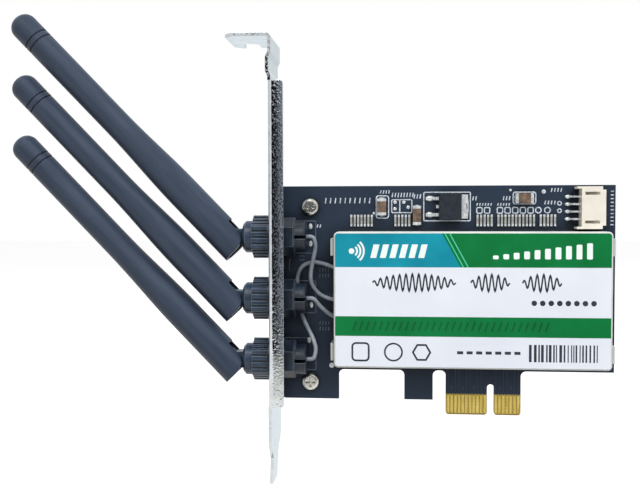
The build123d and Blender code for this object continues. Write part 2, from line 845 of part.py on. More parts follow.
for index, z in enumerate(jack_z, 1):
    # Antenna jack: a moulded bulkhead body, hexagonal where it bears on the bracket, split at the rear
    with BuildPart() as antenna_jack:
        with BuildSketch(along_jack(jack_rear, z)):
            Circle(jack_body_radius)
        extrude(amount=jack_rear - jack_shoulder)
        fillet(antenna_jack.edges().group_by(Axis.X)[-1], jack_rear_round)
        with BuildSketch(along_jack(jack_shoulder, z)):
            RegularPolygon(jack_hex_radius, 6, rotation=30)
        extrude(amount=jack_shoulder - bracket_inner)
        at_shoulder = antenna_jack.faces().filter_by(Axis.X).sort_by(Axis.X)[1]
        chamfer(at_shoulder.outer_wire().edges(), jack_hex_chamfer)
        with BuildSketch(along_jack(bracket_inner, z)):
            Circle(jack_barrel_radius)
        extrude(amount=bracket_inner - barrel_end)
        with BuildSketch(along_jack(jack_rear, z)):
            rectangle_between(cable_radius, -jack_slot / 2, jack_hex_radius, jack_slot / 2)
        extrude(amount=jack_slot_length, mode=Mode.SUBTRACT)
        with BuildSketch(along_jack(barrel_end, z)):
            Circle(rod_radius)
        extrude(amount=barrel_end - jack_rear + jack_slot_length, mode=Mode.SUBTRACT)
    antenna_jack.part.label = f"antenna_jack_{index}"
    export_step(antenna_jack.part, f"parts/antenna_jack_{index}.step")

    # Coupling nut: hexagonal with grip grooves, its end lip holding the elbow's collar
    nut_flat = nut_radius * math.cos(math.radians(30))
    with BuildPart() as coupling_nut:
        with BuildSketch(along_jack(nut_start, z)) as nut_outline:
            RegularPolygon(nut_radius, 6, rotation=30)
            fillet(nut_outline.vertices(), nut_corner)
            with PolarLocations(nut_flat, 6):
                with Locations((0, -nut_groove_spacing), (0, 0), (0, nut_groove_spacing)):
                    Rectangle(2 * nut_groove_depth, nut_groove_width, mode=Mode.SUBTRACT)
        extrude(amount=nut_length)
        with BuildSketch(along_jack(nut_start, z)):
            Circle(jack_barrel_radius + thread_clearance)
        extrude(amount=nut_length - nut_lip, mode=Mode.SUBTRACT)
        with BuildSketch(along_jack(nut_start, z)):
            Circle(shaft_radius + swivel_clearance)
        extrude(amount=nut_length, mode=Mode.SUBTRACT)
    coupling_nut.part.label = f"coupling_nut_{index}"
    export_step(coupling_nut.part, f"parts/coupling_nut_{index}.step")

    # Elbow: turns in the nut on its collar and shaft, and carries the hinge tongue with its trunnions
    hinge = (hinge_x, jack_y, z)
    with BuildPart() as elbow:
        with BuildSketch(along_jack(collar_outer + collar_thickness, z)):
            Circle(collar_radius)
        extrude(amount=collar_thickness)
        with BuildSketch(along_jack(collar_outer, z)):
            Circle(shaft_radius)
        extrude(amount=collar_outer - neck_start)
        with BuildSketch(along_jack(neck_start, z)):
            Circle(neck_radius)
        extrude(amount=neck_length)
        chamfer(elbow.edges().group_by(Axis.X)[0], neck_chamfer)
        with BuildSketch(Plane(origin=hinge, x_dir=(1, 0, 0), z_dir=(0, -1, 0))):
            rectangle_between(0, -tongue_height / 2, hinge_from_neck, tongue_height / 2)
            Circle(barrel_radius)
        extrude(amount=tongue_thickness / 2, both=True)
        with BuildSketch(Plane(origin=hinge, x_dir=(1, 0, 0), z_dir=(0, -1, 0))):
            Circle(trunnion_radius)
        extrude(amount=tongue_thickness / 2 + trunnion_reach, both=True)
    elbow.part.label = f"elbow_{index}"
    export_step(elbow.part, f"parts/elbow_{index}.step")

    # Whip: a turned outline with two grooves near the tip, forked at the hinge and bored for the radiator
    whip_plane = Plane(origin=hinge, x_dir=whip_direction, z_dir=(0, -1, 0))
    whip_axis = Axis(hinge, whip_direction)
    with BuildPart() as whip:
        with BuildSketch(whip_plane):
            with BuildLine():
                Polyline((whip_taper_start, whip_base_radius), (-whip_end, whip_base_radius), (-whip_end, 0))
                Spline(
                    (whip_taper_start, whip_base_radius),
                    (whip_taper_end, whip_tip_radius),
                    tangents=((1, 0), (1, 0)),
                )
                Line((whip_taper_end, whip_tip_radius), (whip_length - whip_dome, whip_tip_radius))
                TangentArc(
                    (whip_length - whip_dome, whip_tip_radius),
                    (whip_length, whip_tip_radius - whip_dome),
                    tangent=(1, 0),
                )
                Polyline((whip_length, whip_tip_radius - whip_dome), (whip_length, 0), (-whip_end, 0))
            make_face()
        revolve(axis=whip_axis)
        with BuildSketch(whip_plane):
            for distance in groove_from_tip:
                with Locations((whip_length - distance, whip_tip_radius)):
                    Rectangle(groove_width, 2 * groove_depth)
        revolve(axis=whip_axis, mode=Mode.SUBTRACT)
        with BuildSketch(whip_plane):
            rectangle_between(bore_start, 0, bore_end, bore_radius)
            rectangle_between(0, 0, bore_start, rod_radius)
        revolve(axis=whip_axis, mode=Mode.SUBTRACT)
        past_end = -whip_end - overcut
        past_side = -whip_base_radius - overcut
        with BuildSketch(whip_plane):
            rectangle_between(past_end, past_side, slot_mouth, 0)
            rectangle_between(past_end, 0, 0, slot_reach)
            Circle(slot_reach)
        extrude(amount=slot_half, both=True, mode=Mode.SUBTRACT)
        with BuildSketch(whip_plane):
            rectangle_between(past_end, past_side, 0, 0)
            Circle(whip_end, mode=Mode.SUBTRACT)
        extrude(amount=2 * whip_base_radius, both=True, mode=Mode.SUBTRACT)
        with BuildSketch(whip_plane):
            Circle(trunnion_radius + trunnion_clearance)
        extrude(amount=slot_half + trunnion_reach, both=True, mode=Mode.SUBTRACT)
    whip.part.label = f"whip_{index}"
    export_step(whip.part, f"parts/whip_{index}.step")

    # Radiator: a brass rod with a sleeve round its lower end, inside the whip's bore
    with BuildPart() as radiator:
        with BuildSketch(whip_plane):
            sleeve_radius = bore_radius - radiator_clearance
            sleeve_end = bore_start + sleeve_length
            rectangle_between(bore_start, 0, bore_end, rod_radius)
            rectangle_between(bore_start, 0, bore_start + sleeve_wall, sleeve_radius)
            rectangle_between(bore_start, sleeve_radius - sleeve_wall, sleeve_end, sleeve_radius)
        revolve(axis=whip_axis)
    radiator.part.label = f"radiator_{index}"
    export_step(radiator.part, f"parts/radiator_{index}.step")
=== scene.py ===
import math
import random

import bmesh
import bpy
from mathutils import Matrix, Vector


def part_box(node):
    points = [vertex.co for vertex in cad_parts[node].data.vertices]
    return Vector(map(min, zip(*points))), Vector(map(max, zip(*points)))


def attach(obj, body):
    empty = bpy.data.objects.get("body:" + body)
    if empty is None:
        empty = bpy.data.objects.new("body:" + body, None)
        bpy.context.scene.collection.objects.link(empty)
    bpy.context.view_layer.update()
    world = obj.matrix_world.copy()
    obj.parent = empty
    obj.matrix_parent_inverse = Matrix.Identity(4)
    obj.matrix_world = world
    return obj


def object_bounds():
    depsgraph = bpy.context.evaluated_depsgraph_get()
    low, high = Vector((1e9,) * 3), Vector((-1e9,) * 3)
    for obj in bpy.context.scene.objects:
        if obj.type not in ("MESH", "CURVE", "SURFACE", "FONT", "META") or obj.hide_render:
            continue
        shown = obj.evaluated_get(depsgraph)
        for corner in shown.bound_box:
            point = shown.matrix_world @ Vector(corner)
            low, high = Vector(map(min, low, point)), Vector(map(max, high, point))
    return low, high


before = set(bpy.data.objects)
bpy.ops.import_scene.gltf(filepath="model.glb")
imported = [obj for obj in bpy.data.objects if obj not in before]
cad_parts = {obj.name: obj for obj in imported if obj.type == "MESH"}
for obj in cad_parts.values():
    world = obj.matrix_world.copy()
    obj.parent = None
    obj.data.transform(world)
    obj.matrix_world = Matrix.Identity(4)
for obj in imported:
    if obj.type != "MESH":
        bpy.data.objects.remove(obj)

# The imported card's own box, and a millimetre in Blender's metres.
cad_low, cad_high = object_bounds()
MM = 0.001

# Circuit board. Glass cloth in epoxy, routed to its outline and coated with blue-black solder mask.
# The mask stops above the contacts, where straw-coloured laminate shows between the fingers, and the
# cut edges show brown laminate.
board_low, board_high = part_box("circuit_board")
finger_low, finger_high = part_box("edge_contacts_front")
board_face = board_low.y / MM
board_rear = board_high.y / MM
mask_opening = finger_high.z + 0.3 * MM
tongue_side = finger_low.x - 1.5 * MM


def linear(colour):
    """An sRGB hex colour as the linear RGBA that a socket takes."""
    channels = [int(colour[i:i + 2], 16) / 255 for i in (1, 3, 5)]
    return [c / 12.92 if c <= 0.04045 else ((c + 0.055) / 1.055) ** 2.4 for c in channels] + [1.0]


def new_material(name):
    """An empty node material and its tree."""
    material = bpy.data.materials.new(name)
    material.use_nodes = True
    material.node_tree.nodes.clear()
    return material, material.node_tree


def add(tree, kind, sockets, **settings):
    """Adds a node. Settings go on the node, and each socket takes a value or another node's output."""
    node = tree.nodes.new("ShaderNode" + kind)
    for name, value in settings.items():
        setattr(node, name, value)
    for key, value in sockets.items():
        if isinstance(value, bpy.types.NodeSocket):
            tree.links.new(value, node.inputs[key])
        else:
            node.inputs[key].default_value = value
    return node


def dress(material, *names):
    """Gives CAD nodes their finish."""
    for name in names:
        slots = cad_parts[name].data.materials
        slots.clear()
        slots.append(material)


def painted_corner_shade(tree, tone, reach_mm):
    """A tone with shade painted into it, darker where other surfaces come within reach_mm."""
    openness = add(tree, "AmbientOcclusion", {"Distance": reach_mm * MM}, samples=6)
    shade = add(
        tree,
        "MapRange",
        {"Value": openness.outputs["AO"], "From Min": 0.3, "From Max": 0.92, "To Min": 0.15},
    )
    darkened = add(
        tree,
        "Mix",
        {0: shade.outputs[0], 6: linear("#000000"), 7: tone},
        data_type="RGBA",
    )
    return darkened.outputs[2]


# Solder mask gives a dull gloss over a faint cloth relief. The cloth is drawn at twice its yarn spacing,
# so that it shows.
yarn_mm = 0.9
yarn_depth_mm = 0.004
mask_cloud_mm = 14.0
solder_mask, tree = new_material("solder_mask_over_glass_cloth")
place = add(tree, "TexCoord", {})
spot = add(tree, "SeparateXYZ", {0: place.outputs["Object"]})
facing = add(tree, "SeparateXYZ", {0: place.outputs["Normal"]})
cloud = add(tree, "TexNoise", {"Vector": place.outputs["Object"], "Scale": 1 / (mask_cloud_mm * MM)})
yarn_scale = math.tau / 20 / (yarn_mm * MM)
warp = add(tree, "TexWave", {"Vector": place.outputs["Object"], "Scale": yarn_scale}, bands_direction="X")
weft = add(tree, "TexWave", {"Vector": place.outputs["Object"], "Scale": yarn_scale}, bands_direction="Z")
cloth = add(tree, "Math", {0: warp.outputs["Fac"], 1: weft.outputs["Fac"]}, operation="MULTIPLY")
mask_tone = add(
    tree, "Mix", {0: cloud.outputs[0], 6: linear("#1f2936"), 7: linear("#2d3a4c")}, data_type="RGBA"
)
straw = add(
    tree, "Mix", {0: cloth.outputs[0], 6: linear("#a08640"), 7: linear("#bfa660")}, data_type="RGBA"
)
under_mask = add(tree, "Math", {0: spot.outputs["Z"], 1: mask_opening}, operation="LESS_THAN")
on_tongue = add(tree, "Math", {0: spot.outputs["X"], 1: tongue_side}, operation="GREATER_THAN")
bare = add(tree, "Math", {0: under_mask.outputs[0], 1: on_tongue.outputs[0]}, operation="MULTIPLY")
face_tone = add(
    tree, "Mix", {0: bare.outputs[0], 6: mask_tone.outputs[2], 7: straw.outputs[2]}, data_type="RGBA"
)
squareness = add(tree, "Math", {0: facing.outputs["Y"]}, operation="ABSOLUTE")
cut_side = add(tree, "Math", {0: squareness.outputs[0], 1: 0.5}, operation="LESS_THAN")
masked_edge = add(
    tree,
    "Math",
    {0: cut_side.outputs[0], 1: bare.outputs[0]},
    operation="SUBTRACT",
    use_clamp=True,
)
clean_tone = add(
    tree,
    "Mix",
    {0: masked_edge.outputs[0], 6: face_tone.outputs[2], 7: linear("#2e2c27")},
    data_type="RGBA",
)
# Shade is painted into the board's tone where other parts stand within 5 mm of it.
board_tone = painted_corner_shade(tree, clean_tone.outputs[2], reach_mm=5.0)
relief = add(tree, "Bump", {"Height": cloth.outputs[0], "Distance": yarn_depth_mm * MM})
shader = add(
    tree,
    "BsdfPrincipled",
    {
        "Base Color": board_tone,
        "Roughness": 0.42,
        "Specular IOR Level": 0.22,
        "Normal": relief.outputs[0],
    },
)
add(tree, "OutputMaterial", {"Surface": shader.outputs[0]})
dress(solder_mask, "circuit_board")

# Copper under the mask. Etched tracks and plated earth holes, seen as low ridges and dots of the mask
# itself. Tracks run up from the contacts on both faces. Five more lanes, and two rows of holes along the
# upper edge, are on the rear face.
track_width = 0.22
track_rise = 0.035
hole_width = 0.8
hole_rise = 0.07
contact_pitch = 1.0
contact_from_key = 1.5
contacts_before_key, contacts_after_key = 11, 7
contact_x = [-contact_from_key - contact_pitch * i for i in range(contacts_before_key)]
contact_x += [contact_from_key + contact_pitch * i for i in range(contacts_after_key)]
finger_top = finger_high.z / MM


def mottled(
    name,
    tones,
    cloud_mm,
    grain_mm,
    depth_mm,
    shading,
    stretch=(1, 1, 1),
    turn=0.0,
    soft_mm=0.0,
    painted_shade_mm=0.0,
    crest=0.0,
):
    """A finish of two close tones in soft clouds, with a fine grain in its surface, both stretched along
    axes that are turned about Y. Only the grain above crest, from 0 to 1, stands up. A lighter third tone
    is painted along the edges, which are rounded to the radius soft_mm: partly rubbed wear, partly a
    painted highlight. Shade is painted into corners within painted_shade_mm."""
    material, tree = new_material(name)
    place = add(tree, "TexCoord", {})
    run = add(
        tree,
        "Mapping",
        {"Vector": place.outputs["Object"], "Rotation": (0, turn, 0), "Scale": stretch},
        vector_type="TEXTURE",
    )
    cloud = add(tree, "TexNoise", {"Vector": run.outputs[0], "Scale": 1 / (cloud_mm * MM), "Detail": 3.0})
    spread = add(tree, "MapRange", {"Value": cloud.outputs[0], "From Min": 0.3, "From Max": 0.7})
    tone = add(
        tree,
        "Mix",
        {0: spread.outputs[0], 6: linear(tones[0]), 7: linear(tones[1])},
        data_type="RGBA",
    )
    grain = add(tree, "TexNoise", {"Vector": run.outputs[0], "Scale": 1 / (grain_mm * MM), "Detail": 2.0})
    height = add(
        tree,
        "MapRange",
        {"Value": grain.outputs[0], "From Min": crest},
        interpolation_type="SMOOTHSTEP" if crest else "LINEAR",
    )
    relief = add(tree, "Bump", {"Height": height.outputs[0], "Distance": depth_mm * MM})
    if soft_mm:
        rounding = add(tree, "Bevel", {"Radius": soft_mm * MM}, samples=6)
        tree.links.new(rounding.outputs[0], relief.inputs["Normal"])
        flat = add(tree, "NewGeometry", {})
        lean = add(
            tree,
            "VectorMath",
            {0: rounding.outputs[0], 1: flat.outputs["Normal"]},
            operation="DOT_PRODUCT",
        )
        # The third tone along the edges is rubbed wear and a painted highlight.
        edge_wear_and_highlight = add(tree, "MapRange", {"Value": lean.outputs["Value"], "From Min": 0.995, "From Max": 0.92})
        tone = add(
            tree,
            "Mix",
            {0: edge_wear_and_highlight.outputs[0], 6: tone.outputs[2], 7: linear(tones[2])},
            data_type="RGBA",
        )
    colour = tone.outputs[2]
    # Shade painted into corners, darker where other surfaces come near.
    if painted_shade_mm:
        colour = painted_corner_shade(tree, colour, painted_shade_mm)
    shader = add(
        tree, "BsdfPrincipled", {"Base Color": colour, "Normal": relief.outputs[0], **shading}
    )
    add(tree, "OutputMaterial", {"Surface": shader.outputs[0]})
    return material


def stroke(mesh, path, width, base, rise, closed=False):
    """A raised line of even width along (x, z) points in mm, mitred at its corners. It stands on the plane
    y = base, towards -Y, or towards +Y where rise is negative."""
    points = [Vector(p) for p in path]
    last = len(points) - 1
    rings = []
    for i, point in enumerate(points):
        arriving = point - points[i - 1] if closed or i > 0 else points[1] - point
        leaving = points[(i + 1) % len(points)] - point if closed or i < last else arriving
        heading = (arriving.normalized() + leaving.normalized()).normalized()
        lean = max(heading.dot(arriving.normalized()), 0.3)
        across = Vector((-heading.y, heading.x)) * width / 2 / lean
        left, right = point + across, point - across
        corners = ((left, base), (right, base), (right, base - rise), (left, base - rise))
        rings.append([mesh.verts.new((p.x * MM, y * MM, p.y * MM)) for p, y in corners])
    pairs = list(zip(rings, rings[1:]))
    if closed:
        pairs.append((rings[-1], rings[0]))
    else:
        mesh.faces.new(rings[0])
        mesh.faces.new(rings[-1])
    for start, end in pairs:
        for k in range(4):
            mesh.faces.new((start[k - 1], start[k], end[k], end[k - 1]))


def dome(mesh, x, z, wide, tall, base, rise, rings=4, sides=14):
    """A rounded drop on the plane y = base, as solder wets a pad. Sizes are in mm."""
    loops = []
    for ring in range(rings):
        climb = math.pi / 2 * ring / rings
        y = base - rise * math.sin(climb)
        loop = []
        for side in range(sides):
            turn = math.tau * side / sides
            px = x + wide / 2 * math.cos(climb) * math.cos(turn)
            pz = z + tall / 2 * math.cos(climb) * math.sin(turn)
            loop.append(mesh.verts.new((px * MM, y * MM, pz * MM)))
        loops.append(loop)
    crown = mesh.verts.new((x * MM, (base - rise) * MM, z * MM))
    mesh.faces.new(loops[0])
    for lower, upper in zip(loops, loops[1:]):
        for k in range(sides):
            mesh.faces.new((lower[k - 1], lower[k], upper[k], upper[k - 1]))
    for k in range(sides):
        mesh.faces.new((loops[-1][k - 1], loops[-1][k], crown))


def new_piece(name, mesh, material, body="card"):
    """Turns a finished bmesh into a piece that rides on a body."""
    bmesh.ops.recalc_face_normals(mesh, faces=mesh.faces)
    data = bpy.data.meshes.new(name)
    mesh.to_mesh(data)
    mesh.free()
    data.shade_smooth()
    data.set_sharp_from_angle(angle=math.radians(40))
    data.materials.append(material)
    piece = bpy.data.objects.new(name, data)
    bpy.context.scene.collection.objects.link(piece)
    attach(piece, body)


front_track_top, short_track_top = 13.2, 7.6
first_turn, turn_step = 14.0, 1.1
first_drift, drift_step = 6.0, 1.3
rear_run = 8
copper = bmesh.new()
for index, x in enumerate(contact_x):
    end = front_track_top if index % 3 else short_track_top
    stroke(copper, [(x, finger_top), (x, end)], track_width, board_face, track_rise)
    if index % 3 == 0:
        dome(copper, x, end, hole_width, hole_width, board_face, hole_rise)
    if index % 2:
        outwards = 1 if x > 0 else -1
        turn_z = first_turn + turn_step * (index % contacts_before_key)
        drift = first_drift + drift_step * (index % contacts_before_key)
        far_x = x + outwards * drift
        far_z = turn_z + drift
        turned = [(x, finger_top), (x, turn_z), (far_x, far_z), (far_x, far_z + rear_run)]
        stroke(copper, turned, track_width, board_rear, -track_rise)
        dome(copper, *turned[-1], hole_width, hole_width, board_rear, -hole_rise)
edge_inset = 1.3
second_row = 9.5
hole_pitch = 5.0
hole_count = 15
hole_z = board_high.z / MM - edge_inset
for index in range(hole_count):
    x = board_high.x / MM - edge_inset - hole_pitch * index
    for z in (hole_z, hole_z - second_row):
        dome(copper, x, z, hole_width, hole_width, board_rear, -hole_rise)
lane_count = 5
lane_pitch = 0.9
lane_top = 51.0
lane_left, lane_right = -38, 18
lane_drop = 12
lane_kick = 3
first_bend = 3.0
for lane in range(lane_count):
    z = lane_top - lane_pitch * lane
    bend = first_bend + lane
    left, right = lane_left + bend, lane_right - bend
    path = [
        (left, z - lane_drop),
        (left, z - bend),
        (left + bend, z),
        (right, z),
        (right + lane_kick, z + lane_kick),
    ]
    stroke(copper, path, track_width, board_rear, -track_rise)
    dome(copper, *path[0], hole_width, hole_width, board_rear, -hole_rise)
    dome(copper, *path[-1], hole_width, hole_width, board_rear, -hole_rise)
mask_over_copper = mottled(
    "solder_mask_over_copper",
    ("#273240", "#354355"),
    cloud_mm=9.0,
    grain_mm=0.4,
    depth_mm=0.003,
    shading={"Roughness": 0.4, "Specular IOR Level": 0.25},
)
new_piece("masked_copper", copper, mask_over_copper)

# Shoulder of the board. A narrow lip of the same masked laminate, which shows below the cover between
# the foot, the tab and the tongue. The router left its own radius in the inner corners.
shoulder_z = 12.8
shoulder_lip = 0.65
router_radius = 1.4
foot_side, tab_left, tab_right, tongue_left, tongue_right = -41.6, -23.5, -15.7, -12.15, 8.15


def arc(x, z, radius, start, end, steps=8):
    """Points along an arc, with its angles in degrees."""
    turns = [math.radians(start + (end - start) * k / steps) for k in range(steps + 1)]
    return [(x + radius * math.cos(t), z + radius * math.sin(t)) for t in turns]


def field(mesh, outline, base, rise):
    """A flat raised patch with a closed outline of (x, z) points in mm."""
    lower = [mesh.verts.new((x * MM, base * MM, z * MM)) for x, z in outline]
    upper = [mesh.verts.new((x * MM, (base - rise) * MM, z * MM)) for x, z in outline]
    mesh.faces.new(lower)
    mesh.faces.new(upper)
    for k in range(len(outline)):
        mesh.faces.new((lower[k - 1], lower[k], upper[k], upper[k - 1]))


shoulder = bmesh.new()
corner_z = shoulder_z - router_radius
for left, right in ((foot_side, tab_left), (tab_right, tongue_left), (tongue_right, None)):
    edge = arc(left + router_radius, corner_z, router_radius, 180, 90)
    if right is None:
        edge.append((board_high.x / MM, shoulder_z))
    else:
        edge += arc(right - router_radius, corner_z, router_radius, 90, 0)
    lowered = [(x, z - shoulder_lip) for x, z in reversed(edge)]
    field(shoulder, edge + lowered, board_rear, board_rear - board_face)
new_piece("board_shoulder", shoulder, solder_mask)

# Edge contacts. Copper fingers plated with hard gold over nickel, on both faces of the tongue. Mating
# has drawn fine scratches up them, which is what breaks the gold's reflection into streaks.
gold_plate = mottled(
    "hard_gold_over_nickel",
    ("#c3a343", "#ecd87e"),
    cloud_mm=0.8,
    grain_mm=0.12,
    depth_mm=0.004,
    shading={"Metallic": 1.0, "Roughness": 0.34},
    stretch=(1, 1, 6),
)
dress(gold_plate, "edge_contacts_front", "edge_contacts_back", "rf_jacks", "cable_plugs")

# Test points, and oval pads beside the jacks. Copper left open in the mask and tinned, so that each is a
# small, slightly domed bright dot. A point has its X, Z and diameter, and a pad its X and Z.
test_points = ((-43.6, 13.2, 1.4), (14.0, 61.15, 1.15), (5.1, 61.6, 0.7), (-31.9, 55.4, 0.7))
oval_pads = ((-49.4, 47.0), (-49.4, 51.8), (-49.9, 20.2), (-49.2, 30.0))
pad_width, pad_height = 1.0, 1.6
point_rise = 0.12
dots = bmesh.new()
for x, z, size in test_points:
    dome(dots, x, z, size, size, board_face, point_rise)
for x, z in oval_pads:
    dome(dots, x, z, pad_width, pad_height, board_face, point_rise)
tin_plate = mottled(
    "bright_tin_solder",
    ("#b8bec2", "#eef0f1"),
    cloud_mm=0.7,
    grain_mm=0.25,
    depth_mm=0.006,
    shading={"Metallic": 0.45, "Roughness": 0.36},
)
new_piece("tinned_test_points", dots, tin_plate)

# Silkscreen legend. White epoxy ink printed over the mask: outlines round the parts and plain ticks.
# It is a little uneven and lets the mask show through.
ink_line = 0.3
ink_rise = 0.02


def rounded(x0, z0, x1, z1, radius, steps=3):
    """The outline of a rectangle with rounded corners, as (x, z) points."""
    points = []
    for cx, cz, start in (
        (x1 - radius, z1 - radius, 0),
        (x0 + radius, z1 - radius, 90),
        (x0 + radius, z0 + radius, 180),
        (x1 - radius, z0 + radius, 270),
    ):
        for step in range(steps + 1):
            turn = math.radians(start + 90 * step / steps)
            points.append((cx + radius * math.cos(turn), cz + radius * math.sin(turn)))
    return points


# Outlines round the parts: left, bottom, right, top and corner radius.
part_outlines = (
    (-31.25, 54.05, -27.85, 60.2, 0.7),
    (-27.0, 55.55, -21.5, 59.1, 0.3),
    (-18.25, 53.3, -5.65, 61.1, 0.3),
    (5.85, 57.85, 11.9, 61.05, 0.6),
)
divider = [(-24.8, 55.6), (-24.8, 59.0)]
legend = bmesh.new()
for x0, z0, x1, z1, radius in part_outlines:
    stroke(legend, rounded(x0, z0, x1, z1, radius), ink_line, board_face, ink_rise, closed=True)
stroke(legend, divider, ink_line, board_face, ink_rise)
# Rows of small boxes: the first one's left side and how many.
box_rows = ((-3.9, 2), (1.6, 5))
box_pitch = 2.05
box_width = 1.45
box_bottom, box_top = 55.35, 56.9
box_corner = 0.35
for first, count in box_rows:
    for i in range(count):
        left = first + box_pitch * i
        outline = rounded(left, box_bottom, left + box_width, box_top, box_corner)
        stroke(legend, outline, ink_line, board_face, ink_rise, closed=True)
# Rows of ticks: the first one's X, their middle, how many, their pitch and their height.
tick_rows = (
    (-45.3, 58.9, 10, 1.35, 1.5),
    (-30.1, 61.25, 4, 0.75, 0.9),
    (-26.9, 60.4, 8, 0.8, 1.2),
    (-20.9, 60.0, 3, 0.8, 1.2),
    (-5.0, 59.4, 2, 0.8, 1.1),
    (-3.9, 57.75, 6, 0.75, 0.7),
    (1.7, 57.75, 5, 0.75, 0.7),
    (3.2, 59.4, 3, 0.8, 1.1),
    (14.3, 58.2, 4, 0.85, 1.0),
    (16.0, 61.6, 4, 0.85, 1.0),
    (-47.6, 51.9, 2, 0.8, 0.9),
)
tick_lean = 0.2
for first, z, count, step, tall in tick_rows:
    for i in range(count):
        x = first + step * i
        tick = [(x, z - tall / 2), (x + tick_lean, z + tall / 2)]
        stroke(legend, tick, ink_line, board_face, ink_rise)
edge_tick_count = 10
edge_tick_left, edge_tick_right = 31.7, 32.5
edge_tick_bottom = 52.2
for i in range(edge_tick_count):
    z = edge_tick_bottom + i
    stroke(legend, [(edge_tick_left, z), (edge_tick_right, z)], ink_line, board_face, ink_rise)
# Rings: their X, Z and radius. Where two of a ring's points meet, one is dropped.
ring_places = ((12.6, 56.15, 0.75), (15.0, 56.15, 0.75), (18.2, 58.0, 0.5), (18.2, 56.0, 0.5))
apart = 0.01
for x, z, radius in ring_places:
    corners = rounded(x - radius, z - radius, x + radius, z + radius, radius, steps=5)
    following = corners[1:] + corners[:1]
    ring = [p for p, q in zip(corners, following) if (Vector(p) - Vector(q)).length > apart]
    stroke(legend, ring, ink_line, board_face, ink_rise, closed=True)
silk_ink = mottled(
    "white_epoxy_legend_ink",
    ("#98a3b1", "#d6dde5"),
    cloud_mm=0.9,
    grain_mm=0.2,
    depth_mm=0.004,
    shading={"Roughness": 0.6},
)
new_piece("silkscreen_legend", legend, silk_ink)

# Thin legend beside the jacks. The same epoxy ink, printed so thin that it hardly covers the mask:
# outlines of the jacks, and rows of small ticks with their first X, their middle and their number.
faint_line = 0.2
jack_middles = (49.0, 32.4, 16.5)
jack_left, jack_right = -56.8, -48.0
jack_below, jack_above = 4.6, 4.3
jack_corner = 0.3
faint_rows = ((-46.9, 39.8, 4), (-46.9, 38.2, 4), (-46.9, 25.0, 4), (-46.9, 23.4, 4), (-46.6, 32.7, 5))
faint_pitch = 0.8
faint_half = 0.5
faint_lean = 0.15
faint_dash_z = (42.5, 43.6)
faint_dash_left, faint_dash_right = -52.7, -51.1
bent_line = [(-54.9, 42.9), (-55.3, 42.2), (-55.4, 40.2), (-55.2, 39.4)]
faint = bmesh.new()
for z in jack_middles:
    outline = rounded(jack_left, z - jack_below, jack_right, z + jack_above, jack_corner)
    stroke(faint, outline, faint_line, board_face, ink_rise, closed=True)
for first, z, count in faint_rows:
    for i in range(count):
        x = first + faint_pitch * i
        tick = [(x, z - faint_half), (x + faint_lean, z + faint_half)]
        stroke(faint, tick, faint_line, board_face, ink_rise)
for z in faint_dash_z:
    stroke(faint, [(faint_dash_left, z), (faint_dash_right, z)], faint_line, board_face, ink_rise)
stroke(faint, bent_line, faint_line, board_face, ink_rise)
faint_ink = mottled(
    "thin_epoxy_legend_ink",
    ("#4a5461", "#6d7783"),
    cloud_mm=1.2,
    grain_mm=0.2,
    depth_mm=0.004,
    shading={"Roughness": 0.6},
)
new_piece("faint_legend", faint, faint_ink)

# Radio module under the cover. A small board on a socket and two pillars, with a pressed tin can over
# its chips. The cover hides it, apart from what shows through the cable notches.
module_mask = mottled(
    "module_solder_mask",
    ("#16402c", "#1e5238"),
    cloud_mm=6.0,
    grain_mm=0.5,
    depth_mm=0.003,
    shading={"Roughness": 0.4},
)
dress(module_mask, "module_board")
brass = mottled(
    "turned_brass",
    ("#a8853f", "#c7a560"),
    cloud_mm=1.2,
    grain_mm=0.15,
    depth_mm=0.004,
    shading={"Metallic": 1.0, "Roughness": 0.3},
)
dress(brass, "module_standoffs", "radiator_1", "radiator_2", "radiator_3")
black_epoxy = mottled(
    "moulded_black_epoxy",
    ("#171c23", "#252c36"),
    cloud_mm=1.5,
    grain_mm=0.12,
    depth_mm=0.008,
    shading={"Roughness": 0.55, "Specular IOR Level": 0.35},
)
dress(black_epoxy, "module_socket", "module_chips")

# Voltage regulator. Black epoxy moulded over a tinned copper frame, whose tab is soldered flat to the
# board and whose leads end in rounded solder fillets. Reflowed solder is smooth, so each fillet mirrors
# the dark side of the studio at its crown and the light round its rim.
dress(black_epoxy, "regulator_body")
dress(tin_plate, "regulator_frame", "module_shield")
reflowed_solder = mottled(
    "reflowed_solder",
    ("#c3c9cd", "#f2f4f5"),
    cloud_mm=0.7,
    grain_mm=0.4,
    depth_mm=0.012,
    shading={"Metallic": 0.8, "Roughness": 0.24},
)
solder = bmesh.new()
frame_low, frame_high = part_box("regulator_frame")
lead_z = (54.98, 59.38)
lead_x = frame_low.x / MM + 1.1
lead_fillet_length, lead_fillet_width = 2.4, 1.7
foot_rise = 0.75
for z in lead_z:
    dome(solder, lead_x, z, lead_fillet_length, lead_fillet_width, board_face, foot_rise)
tab_x, tab_z = frame_high.x / MM - 0.2, 57.18
tab_fillet_width, tab_fillet_length = 1.0, 5.9
tab_fillet_rise = 0.6
dome(solder, tab_x, tab_z, tab_fillet_width, tab_fillet_length, board_face, tab_fillet_rise)

# Ceramic capacitors. Brown fired ceramic between silvered ends, each end soldered to its pad by a fillet
# as tall as the part. The ceramic is dull and unevenly brown. An end has its X, Z, width and height.
ceramic = mottled(
    "fired_brown_ceramic",
    ("#4f4035", "#7d6855"),
    cloud_mm=0.9,
    grain_mm=0.15,
    depth_mm=0.006,
    shading={"Roughness": 0.5},
)
dress(ceramic, "capacitor_bodies")
dress(tin_plate, "capacitor_terminals")
fillet = 1.25
end_rise = 1.56
capacitor_ends = (
    (-29.75, 59.25, 2.5, fillet),
    (-29.75, 55.05, 2.5, fillet),
    (-20.1, 57.2, 2.2, fillet),
    (-20.1, 52.5, 2.2, fillet),
    (6.7, 59.4, fillet, 2.8),
    (10.9, 59.4, fillet, 2.8),
)
for x, z, wide, tall in capacitor_ends:
    dome(solder, x, z, wide, tall, board_face, end_rise, rings=5)

